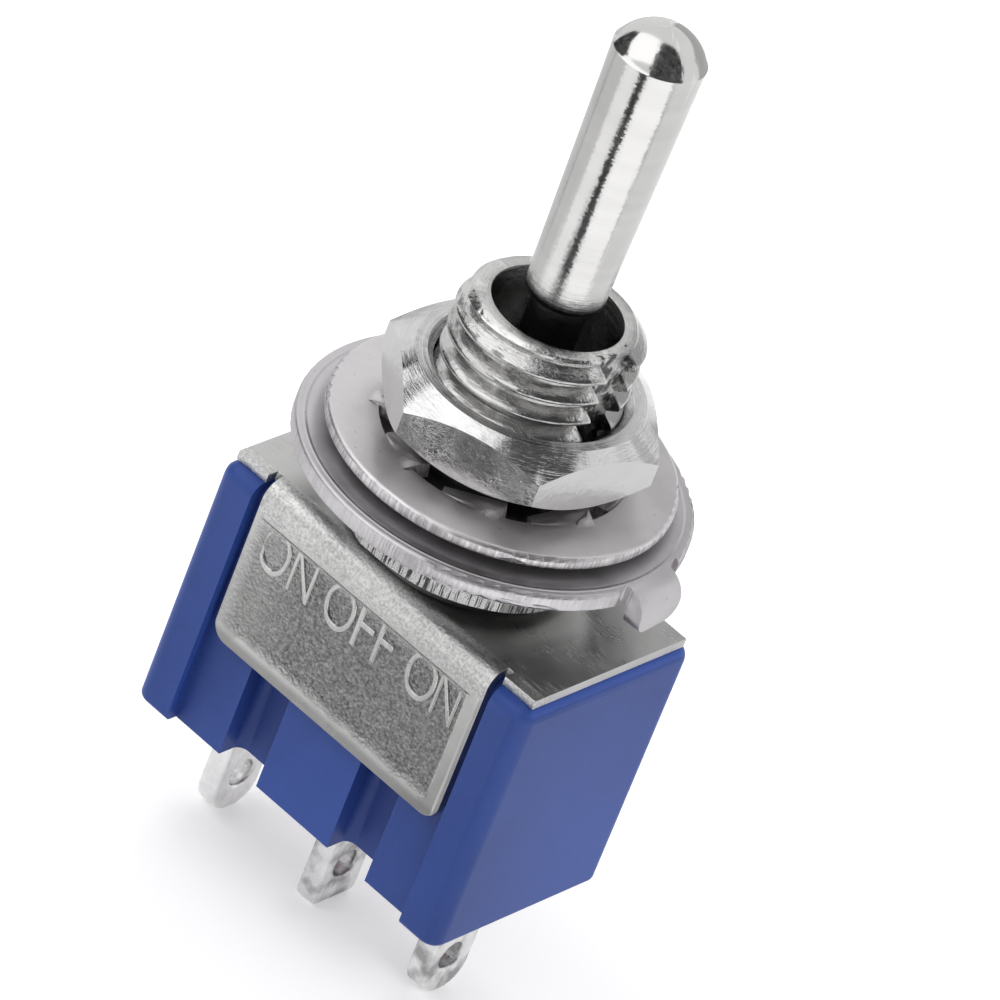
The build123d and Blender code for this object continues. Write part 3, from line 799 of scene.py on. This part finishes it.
class SWITCH_OT_bushing(Operator):
    """Makes the threaded bushing with its keyway"""

    bl_idname = "switch.bushing"
    bl_label = "Bushing"
    steps: IntProperty(name="Steps", description="Divisions round the axis", default=144, min=24)

    def execute(self, context):
        s = sizes()
        low, high = box_mm("bushing")
        top, foot = high.z, low.z
        pitch, crest, root = s["thread_pitch"], s["thread_radius"], s["thread_root"]
        # One pitch from crest to crest as (share of the pitch, share of the depth)
        tooth = ((0, 1), (0.055, 0.985), (0.1, 0.92), (0.15, 0.80), (0.27, 0.46), (0.38, 0.13), (0.43, 0.02))
        tooth += tuple((1 - share, depth) for share, depth in reversed(tooth[1:]))
        turns = math.ceil((top - s["collar_top"]) / pitch) + 3
        start = s["thread_crest"] - 2 * pitch
        points = [
            (root + (crest - root) * depth, start + (turn + share) * pitch)
            for turn in range(turns)
            for share, depth in tooth
        ]
        thread = draw_profile("bushing_thread", points)
        apply_modifier(
            thread, "SCREW", axis="Z", angle=math.tau, screw_offset=pitch, steps=self.steps,
            render_steps=self.steps, use_merge_vertices=False,
        )
        bpy.ops.object.mode_set(mode="EDIT")
        bpy.ops.mesh.select_all(action="SELECT")
        bpy.ops.mesh.remove_doubles(threshold=0.001)
        for height, above in ((top, True), (s["collar_top"], False)):
            bpy.ops.mesh.select_all(action="SELECT")
            bpy.ops.mesh.bisect(
                plane_co=(0, 0, height), plane_no=(0, 0, 1), clear_outer=above, clear_inner=not above
            )
        mesh = bmesh.from_edit_mesh(thread.data)
        relief_top, rim_round = s["collar_top"] + 0.45, 0.05
        for vertex in mesh.verts:
            radius = math.hypot(vertex.co.x, vertex.co.y)
            depth = top - vertex.co.z
            limit = min(crest, s["rim_radius"] + depth - max(0.0, rim_round - depth) * 0.6)
            if vertex.co.z < relief_top:
                limit = s["relief_radius"]
            if radius > limit:
                vertex.co.x *= limit / radius
                vertex.co.y *= limit / radius
        bmesh.update_edit_mesh(thread.data)
        bpy.ops.object.mode_set(mode="OBJECT")

        ball = (0, s["pivot_height"])
        socket = s["ball_radius"] + 0.03
        lip = s["lip_radius"]
        lip_angle = math.degrees(math.acos(lip / socket))
        lip_bottom = ball[1] + math.sqrt(socket**2 - lip**2)
        lip_top = lip_bottom + 0.22
        bore = s["bore_radius"]
        inside = [(bore + 0.06, top), (bore + 0.018, top - 0.018), (bore, top - 0.06)]
        inside += [(bore, lip_top + bore - lip), (lip, lip_top), (lip, lip_bottom)]
        inside += arc(ball, socket, lip_angle, 0, 6)[1:]
        inside += [(socket, foot + 0.54), (socket + 0.27, foot)]
        stake, hole, sheet_bottom = 2.9, 2.5, -0.32
        inside += [(stake - 0.04, foot), (stake, foot + 0.04), (stake, sheet_bottom)]
        inside += [(hole, sheet_bottom), (hole, 0.0)]
        collar, collar_top, chamfer = s["collar_radius"], s["collar_top"], 0.05
        inside += [(collar - chamfer, 0.0), (collar, chamfer), (collar, collar_top - chamfer)]
        inside += [(collar - chamfer, collar_top)]
        shell = spin_profile("bushing_shell", inside, self.steps)
        take(thread, shell)
        bpy.ops.object.join()
        for height in (top, s["collar_top"]):
            bpy.ops.object.mode_set(mode="EDIT")
            bpy.ops.mesh.select_all(action="DESELECT")
            mesh = bmesh.from_edit_mesh(thread.data)
            for edge in mesh.edges:
                if edge.is_boundary and all(abs(v.co.z - height) < 0.002 for v in edge.verts):
                    edge.select_set(True)
            mesh.select_flush_mode()
            bmesh.update_edit_mesh(thread.data)
            bpy.ops.mesh.fill()
            bpy.ops.object.mode_set(mode="OBJECT")
        bpy.ops.object.mode_set(mode="EDIT")
        weld(0.0005)
        thread = named("bushing_threaded")

        clear_selection()
        bpy.ops.mesh.primitive_cube_add(size=1)
        slot = bpy.context.object
        deep = 1.2
        slot.scale = (deep, s["keyway_width"], top)
        slot.location = (s["keyway_floor"] + deep / 2, 0, s["collar_top"] + top / 2)
        apply_place()
        cut(thread, slot)
        settle(thread, "switch_body", ["bushing"], finishes["bushing"], smooth=40)
        return {"FINISHED"}


class SWITCH_OT_lever(Operator):
    """Makes the turned lever"""

    bl_idname = "switch.lever"
    bl_label = "Lever"
    steps: IntProperty(name="Steps", description="Divisions round the axis", default=128, min=24)

    def execute(self, context):
        s = sizes()
        low, high = box_mm("lever")
        top, end = high.z, low.z
        tip, dome = s["tip_radius"], 0.95
        sphere = (tip**2 + dome**2) / (2 * dome)
        edge = math.degrees(math.asin((sphere - dome) / sphere))
        profile = arc((0, top - sphere), sphere, 90, edge + 1.5, 14)
        dome_foot = top - dome
        profile[0] = (0, top)
        profile += [(tip + 0.012, dome_foot + 0.01), (tip + 0.006, dome_foot - 0.05)]
        shaft_foot, foot, bore, bore_top = 10.0, s["foot_radius"], 0.6, -0.3
        for share in (0.15, 0.4, 0.65, 0.85, 0.97, 1.0):
            profile.append((tip + (foot - tip) * share, dome_foot + (shaft_foot - dome_foot) * share))
        neck, neck_top = s["neck_radius"], 9.55
        profile += [(foot - 0.01, 9.85), (foot - 0.06, 9.70), (foot - 0.15, 9.60), (neck, neck_top)]
        pivot, ball = s["pivot_height"], s["ball_radius"]
        upper = math.degrees(math.acos(neck / ball))
        profile += arc((0, pivot), ball, upper, -upper, 16)
        profile += [(neck, end + 0.05), (neck - 0.05, end), (bore, end), (bore, bore_top), (0, bore_top)]
        lever = spin_profile("lever_turned", profile, self.steps)
        settle(lever, "lever_body", ["lever"], finishes["lever"], smooth=24)
        return {"FINISHED"}


class SWITCH_OT_nuts(Operator):
    """Makes the two hex nuts"""

    bl_idname = "switch.nuts"
    bl_label = "Nuts"
    turns: FloatVectorProperty(
        name="Turns", description="How far the lower and the upper nut are turned", size=2, default=(22.5, 18.8)
    )

    def execute(self, context):
        s = sizes()
        across = s["nut_flats"]
        corner = across / 2 / math.cos(math.radians(30))
        face = s["nut_face"]
        drop = (corner - face) * math.tan(math.radians(36))
        # The hole's tool stands past both faces
        bore, lead, past = s["thread_radius"] + 0.05, 0.25, 0.3
        for node, turn in zip(("lower_nut", "upper_nut"), self.turns):
            low, high = box_mm(node)
            bottom, top = low.z, high.z
            clear_selection()
            bpy.ops.mesh.primitive_cylinder_add(
                vertices=6, radius=corner, depth=top - bottom, location=(0, 0, (top + bottom) / 2)
            )
            nut = named(node + "_bevelled")
            # The primitive's first corner stands on +Y
            nut.rotation_euler = (0, 0, math.radians(turn - 90))
            apply_place()
            wide = corner + 0.002
            barrel = [(0, top), (face, top), (wide, top - drop), (wide, bottom + drop), (face, bottom)]
            cut(nut, spin_profile("barrel", barrel + [(0, bottom)], 120), "INTERSECT")
            mouth = bore + lead + past
            hole = [(0, top + past), (mouth, top + past), (bore, top - lead), (bore, bottom + lead)]
            hole += [(mouth, bottom - past), (0, bottom - past)]
            cut(nut, spin_profile("hole", hole, 120))
            round_edges(nut, 0.045, 20)
            finish = finishes["nut" if node == "upper_nut" else "lower_nut"]
            settle(nut, "switch_body", [node], finish, smooth=30)
        return {"FINISHED"}


class SWITCH_OT_washers(Operator):
    """Rounds the edges of the two washers"""

    bl_idname = "switch.washers"
    bl_label = "Washers"
    rim_round: length("Rim rounding", "Radius of the rolled outer edges", 0.13)
    first_tooth: FloatProperty(name="First tooth", description="Direction of a tooth in degrees", default=28)
    teeth_back: FloatProperty(name="Teeth back", description="Degrees the teeth are turned back by", default=15)
    teeth_wider: FloatProperty(name="Teeth wider", description="Factor on the teeth's width", default=1.12)

    def execute(self, context):
        for node in ("locating_washer", "lock_washer"):
            piece = packed_copy(node, node + "_pressed")
            low, high = box_mm(node)
            if node == "lock_washer":
                self.ease_teeth(piece, (low.z + high.z) / 2)
            self.roll_rim(piece, -low.x - 0.03)
            round_edges(piece, 0.03, 40)
            finish = finishes["washer" if node == "locating_washer" else "lock_washer"]
            settle(piece, "switch_body", [node], finish, smooth=34)
        return {"FINISHED"}

    def ease_teeth(self, piece, middle):
        """Widens the teeth and turns each one back part of the way towards the ring's plane."""
        back, step = math.radians(self.teeth_back), math.tau / 8
        first, ring_inside = math.radians(self.first_tooth), 3.9
        for vertex in piece.data.vertices:
            x, y, height = vertex.co.x, vertex.co.y, vertex.co.z - middle
            if math.hypot(x, y) > ring_inside:
                continue
            around = first + round((math.atan2(y, x) - first) / step) * step
            out = x * math.cos(around) + y * math.sin(around)
            side = y * math.cos(around) - x * math.sin(around)
            across = (side * math.cos(back) + height * math.sin(back)) * self.teeth_wider
            vertex.co.x = out * math.cos(around) - across * math.sin(around)
            vertex.co.y = out * math.sin(around) + across * math.cos(around)
            vertex.co.z = middle + height * math.cos(back) - side * math.sin(back)

    def roll_rim(self, piece, radius):
        """Rounds the two edges that run round the washer's outside, but for the tab."""
        tab_inside, tab_half = 5.7, 1.8
        take(piece)
        bpy.ops.object.mode_set(mode="EDIT")
        bpy.ops.mesh.select_all(action="DESELECT")
        mesh = bmesh.from_edit_mesh(piece.data)
        for edge in mesh.edges:
            level = abs(edge.verts[0].co.z - edge.verts[1].co.z) < 0.01
            outside = all(math.hypot(v.co.x, v.co.y) > radius for v in edge.verts)
            tab = radius > tab_inside and all(
                v.co.x > tab_inside and abs(v.co.y) < tab_half for v in edge.verts
            )
            if level and outside and not tab and edge.calc_face_angle(0) > math.radians(40):
                edge.select_set(True)
        mesh.select_flush_mode()
        bmesh.update_edit_mesh(piece.data)
        bpy.ops.mesh.bevel(offset=self.rim_round * MM, segments=3, affect="EDGES")
        bpy.ops.object.mode_set(mode="OBJECT")


class SWITCH_OT_case(Operator):
    """Softens the case's edges"""

    bl_idname = "switch.case"
    bl_label = "Case"

    def execute(self, context):
        piece = packed_copy("case", "case_moulded")
        round_edges(piece, 0.07, 30)
        settle(piece, "switch_body", ["case"], finishes["case"], smooth=32)
        return {"FINISHED"}


class SWITCH_OT_cover(Operator):
    """Softens the folded cover and its sunk panel"""

    bl_idname = "switch.cover"
    bl_label = "Cover"

    def execute(self, context):
        piece = packed_copy("cover", "cover_folded")
        # The sunk panel's floor is drawn in, so that its walls slope
        floor_y, low, high, slope = box_mm("cover")[0].y + PANEL_DEPTH, -5.4, -1.2, 0.16
        floor = [v for v in piece.data.vertices if abs(v.co.y - floor_y) < 0.004 and low < v.co.z < high]
        middle = sum(v.co.z for v in floor) / len(floor)
        half = max(v.co.x for v in floor), max(v.co.z for v in floor) - middle
        for vertex in floor:
            vertex.co.x *= (half[0] - slope) / half[0]
            vertex.co.z = middle + (vertex.co.z - middle) * (half[1] - slope) / half[1]
        round_edges(piece, 0.05, 32)
        settle(piece, "switch_body", ["cover"], finishes["cover"], smooth=34)
        return {"FINISHED"}


class SWITCH_OT_terminals(Operator):
    """Softens the three terminals as a dipped coating does"""

    bl_idname = "switch.terminals"
    bl_label = "Terminals"
    skin: length("Skin", "Size of the cells that the softened skin is made of", 0.07)

    def execute(self, context):
        for node in ("terminal_left", "terminal_common", "terminal_right"):
            piece = packed_copy(node, node + "_tinned")
            apply_modifier(piece, "REMESH", mode="VOXEL", voxel_size=self.skin * MM)
            apply_modifier(piece, "SMOOTH", factor=0.5, iterations=8)
            settle(piece, "switch_body", [node], finishes["terminal"], smooth=60)
        return {"FINISHED"}


class SWITCH_OT_legend(Operator):
    """Raises the words ON, OFF and ON on the cover's sunk panel"""

    bl_idname = "switch.legend"
    bl_label = "Legend"

    def execute(self, context):
        panel_face, lift, row = box_mm("cover")[0].y + PANEL_DEPTH, 0.005, -2.02
        # A capital letter is about 0.6 of its type's size
        size = sizes()["letter_height"] / 0.6
        # Letter, its centre along the row and how narrow it is
        letters = (
            ("O", -3.77, 0.68), ("N", -2.55, 0.60),
            ("O", -0.94, 0.68), ("F", 0.10, 0.80), ("F", 0.95, 0.74),
            ("O", 2.57, 0.68), ("N", 3.68, 0.58),
        )
        made = []
        for letter, x, narrow in letters:
            clear_selection()
            place, upright = (x, panel_face + lift, row), (math.radians(90), 0, 0)
            bpy.ops.object.text_add(location=place, rotation=upright)
            text = bpy.context.object
            text.scale = (narrow, 1, 1)
            data = text.data
            data.body, data.size, data.align_x, data.align_y = letter, size, "CENTER", "CENTER"
            data.bevel_depth, data.bevel_resolution, data.offset, data.resolution_u = 0.058, 3, -0.052, 10
            bpy.ops.object.convert(target="MESH")
            made.append(bpy.context.object)
        take(*made)
        apply_place()
        bpy.ops.object.join()
        settle(named("cover_legend"), "switch_body", [], finishes["legend"], smooth=50)
        return {"FINISHED"}


# Stage: floor, cards, lights and camera


def sky_point(azimuth, elevation, radius):
    """A point seen in a direction; azimuth 0 is the front and 90 the right."""
    a, e = math.radians(azimuth), math.radians(elevation)
    return Vector((math.sin(a) * math.cos(e), -math.cos(a) * math.cos(e), math.sin(e))) * radius


def bare_tree(owner):
    """The node tree of a material or a world, emptied."""
    owner.use_nodes = True
    owner.node_tree.nodes.clear()
    return owner.node_tree


def seen_directly(tree):
    """1 for rays from the camera, off a glossy surface or through glass, and 0 for scattered light."""
    rays = add_node(tree, "ShaderNodeLightPath").outputs
    kinds = ("Is Camera Ray", "Is Glossy Ray", "Is Transmission Ray")
    return largest(tree, *[Value(tree, rays[kind]) for kind in kinds])


def card(name, strength, corners, radius, mottled=False):
    """A curved card with straight sides between (azimuth, elevation) corners."""
    clear_selection()
    bpy.ops.mesh.primitive_ico_sphere_add(subdivisions=6, radius=radius)
    piece = named(name)
    places = [sky_point(*corner, 1.0) for corner in corners]
    middle = sum(places, Vector()).normalized()
    sides = [a.cross(b) for a, b in zip(places, places[1:] + places[:1])]
    sides = [side if side.dot(middle) > 0 else -side for side in sides]
    bpy.ops.object.mode_set(mode="EDIT")
    for side in sides:
        bpy.ops.mesh.select_all(action="SELECT")
        bpy.ops.mesh.bisect(plane_co=(0, 0, 0), plane_no=side, clear_inner=True)
    bpy.ops.object.mode_set(mode="OBJECT")
    dress_card(piece, strength, mottled)


def dress_card(piece, strength, mottled=False):
    """Gives a card its tone and hides it from all but glossy rays."""
    material = bpy.data.materials.new(piece.name)
    tree = bare_tree(material)
    if mottled:
        strength = noise(tree, 0.022, rough=0.6).spread(0.42, 0.72, strength * 0.4, strength * 5)
    glow = output(tree, "ShaderNodeEmission", {"Strength": strength})
    add_node(tree, "ShaderNodeOutputMaterial", {"Surface": glow})
    piece.data.materials.clear()
    piece.data.materials.append(material)
    for ray in ("camera", "diffuse", "shadow", "transmission", "volume_scatter"):
        setattr(piece, "visible_" + ray, False)


def floor_card(name, strength, inner, outer, reach, lift=0.0005):
    """A flat strip just over the floor; inner and outer are its azimuths at its two ends."""
    count = max(2, int(abs(outer[1] - outer[0]) / 3))
    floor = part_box("terminal_common")[0].z + lift
    clear_selection()
    bpy.ops.mesh.primitive_plane_add(size=0.01)
    piece = named(name)
    mesh = bmesh.new()
    rings = []
    for (start, end), out in zip((inner, outer), reach):
        turns = [math.radians(start + (end - start) * step / count) for step in range(count + 1)]
        rings.append([mesh.verts.new((math.sin(t) * out, -math.cos(t) * out, floor)) for t in turns])
    for step in range(count):
        mesh.faces.new((rings[0][step], rings[0][step + 1], rings[1][step + 1], rings[1][step]))
    mesh.to_mesh(piece.data)
    mesh.free()
    dress_card(piece, strength)


class SWITCH_OT_stage(Operator):
    """Sets the floor, the world, the cards, the lamps and the camera"""

    bl_idname = "switch.stage"
    bl_label = "Stage"

    def execute(self, context):
        world = bpy.data.worlds.new("studio")
        bpy.context.scene.world = world
        tree = bare_tree(world)
        strength = seen_directly(tree).spread(0.0, 1.0, 0.55, 1.0)
        sky = output(tree, "ShaderNodeBackground", {"Color": (1, 1, 1, 1), "Strength": strength})
        add_node(tree, "ShaderNodeOutputWorld", {"Surface": sky})

        clear_selection()
        floor_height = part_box("terminal_common")[0].z
        bpy.ops.mesh.primitive_plane_add(size=3.0, location=(0, 0, floor_height))
        floor = named("floor")
        material = bpy.data.materials.new("floor_white")
        tree = bare_tree(material)
        lit = output(tree, "ShaderNodeBsdfDiffuse", {"Color": (0.8, 0.8, 0.8, 1)})
        glow = output(tree, "ShaderNodeEmission", {"Strength": seen_directly(tree) * 0.32})
        both = output(tree, "ShaderNodeAddShader", {0: lit, 1: glow})
        add_node(tree, "ShaderNodeOutputMaterial", {"Surface": both})
        floor.data.materials.append(material)

        window = ((-96, 38), (-109, 80), (23, 41.5), (-40, 17.5))
        screens = {
            "card_right_screen": ((23, 41.5), (114, 46), (94, -12), (22, -12)),
            "card_top_screen": ((23, 41.5), (-117, 83), (145, 70), (114, 46)),
            "card_left_screen": ((-96, 38), (-40, 17.5), (-44, -14), (-92, -14), (-100, 11)),
        }
        card("card_window", 1.65, window, 0.46)
        for name, corners in screens.items():
            card(name, 0.05, corners, 0.45, mottled=True)
        card("card_sill", 0.95, ((-40, 17.5), (23, 41.5), (23, -12), (-42, -13)), 0.455)
        near, low, stack, middle, far = 0.010, 0.021, 0.027, 0.038, 0.25
        for name, strength, inner, outer, reach in (
            ("card_line", 0.06, (4, 22), (4, 23.5), (middle, far)),
            ("card_line_near", 0.10, (-6, 26), (-6, 26), (stack, middle)),
            ("card_line_stack", 1.1, (-6, 26), (-6, 26), (low, stack)),
            ("card_line_low", 0.20, (-6, 26), (-6, 26), (near, low)),
            ("card_band", 1.5, (22, 88), (23.5, 98), (middle, far)),
            ("card_band_near", 1.3, (26, 98), (26, 98), (low, middle)),
            ("card_band_low", 0.9, (26, 98), (26, 98), (near, low)),
            ("card_edge", 0.15, (88, 91), (98, 101), (middle, far)),
            ("card_light", 1.25, (-36, 2), (-36, 2), (middle, far)),
            ("card_light_near", 1.25, (-50, -6), (-50, -6), (low, middle)),
            ("card_light_low", 0.7, (-50, -6), (-50, -6), (near, low)),
            ("card_left", 0.8, (-82, -36), (-82, -36), (middle, far)),
            ("card_streak", 0.45, (-86, -82), (-86, -82), (middle, far)),
            ("card_far_left", 0.75, (-150, -86), (-150, -86), (middle, far)),
            ("card_left_near", 0.85, (-150, -50), (-150, -50), (near, middle)),
            ("card_right", 1.0, (91, 190), (101, 190), (middle, far)),
            ("card_right_near", 0.95, (98, 165), (98, 165), (near, middle)),
            ("card_behind", 0.25, (165, 215), (165, 215), (near, middle)),
        ):
            floor_card(name, strength, inner, outer, reach)

        self.flag(0.55)
        for name, place, size, power in (
            ("lamp_key", (-55, 55), 0.35, 1.1),
            ("lamp_fill", (75, 40), 0.30, 0.6),
            ("lamp_back", (190, 50), 0.35, 0.8),
        ):
            light = bpy.data.lights.new(name, "AREA")
            light.shape, light.size, light.energy = "SQUARE", size, power
            lamp = bpy.data.objects.new(name, light)
            bpy.context.scene.collection.objects.link(lamp)
            lamp.location = sky_point(*place, 0.5)
            lamp.rotation_euler = lamp.location.to_track_quat("Z", "Y").to_euler()
            lamp.visible_camera = lamp.visible_glossy = False

        place_camera()
        return {"FINISHED"}

    def flag(self, strength):
        """A small grey card behind the switch, which the plate and the washers reflect at their right."""
        clear_selection()
        bpy.ops.mesh.primitive_plane_add(size=1, rotation=(math.radians(90), 0, 0))
        piece = named("card_flag")
        piece.scale = (0.026, 0.020, 1)
        piece.location = (0.001, 0.022, 0.019)
        apply_place()
        dress_card(piece, strength)


def place_camera():
    """The photograph's view: direction, roll, distance, lens and where the origin falls."""
    azimuth, elevation, roll = 30.42, 33.64, math.radians(21.99)
    distance, focal_px, size_px = 277.99, 9236.4, 1000
    origin_px = (463.02, 544.42)
    back = sky_point(azimuth, elevation, 1.0)
    level = sky_point(azimuth + 90, 0, 1.0)
    upright = back.cross(level)
    right = level * math.cos(roll) + upright * math.sin(roll)
    up = upright * math.cos(roll) - level * math.sin(roll)
    aside = (origin_px[0] - size_px / 2) * distance / focal_px
    above = (size_px / 2 - origin_px[1]) * distance / focal_px
    place = (back * distance - right * aside - up * above) / MM
    data = bpy.data.cameras.new("camera")
    data.sensor_width = 36
    data.lens = focal_px * data.sensor_width / size_px
    data.clip_start, data.clip_end = 0.01, 10
    camera = bpy.data.objects.new("camera", data)
    bpy.context.scene.collection.objects.link(camera)
    turn = Matrix((right, up, back)).transposed()
    camera.matrix_world = Matrix.Translation(place) @ turn.to_4x4()
    scene = bpy.context.scene
    scene.camera = camera
    scene.view_settings.view_transform = "Standard"


STEPS = (
    SWITCH_OT_finishes,
    SWITCH_OT_bushing,
    SWITCH_OT_lever,
    SWITCH_OT_nuts,
    SWITCH_OT_washers,
    SWITCH_OT_case,
    SWITCH_OT_cover,
    SWITCH_OT_terminals,
    SWITCH_OT_legend,
    SWITCH_OT_stage,
)


class SWITCH_PT_panel(Panel):
    """Lists the switch's pieces"""

    bl_label = "Toggle switch"
    bl_space_type = "VIEW_3D"
    bl_region_type = "UI"
    bl_category = "Toggle switch"

    def draw(self, context):
        for step in STEPS:
            self.layout.operator(step.bl_idname)
        for held in (context.scene.switch_sizes, context.scene.switch_colours):
            for key in type(held).__annotations__:
                self.layout.prop(held, key)


CLASSES = (SwitchSizes, SwitchColours, *STEPS, SWITCH_PT_panel)


def register():
    for item in CLASSES:
        bpy.utils.register_class(item)
    bpy.types.Scene.switch_sizes = PointerProperty(type=SwitchSizes)
    bpy.types.Scene.switch_colours = PointerProperty(type=SwitchColours)


def unregister():
    del bpy.types.Scene.switch_sizes
    del bpy.types.Scene.switch_colours
    for item in reversed(CLASSES):
        bpy.utils.unregister_class(item)


def main():
    register()
    for step in STEPS:
        space, name = step.bl_idname.split(".")
        getattr(getattr(bpy.ops, space), name)()


if __name__ == "__main__":
    main()
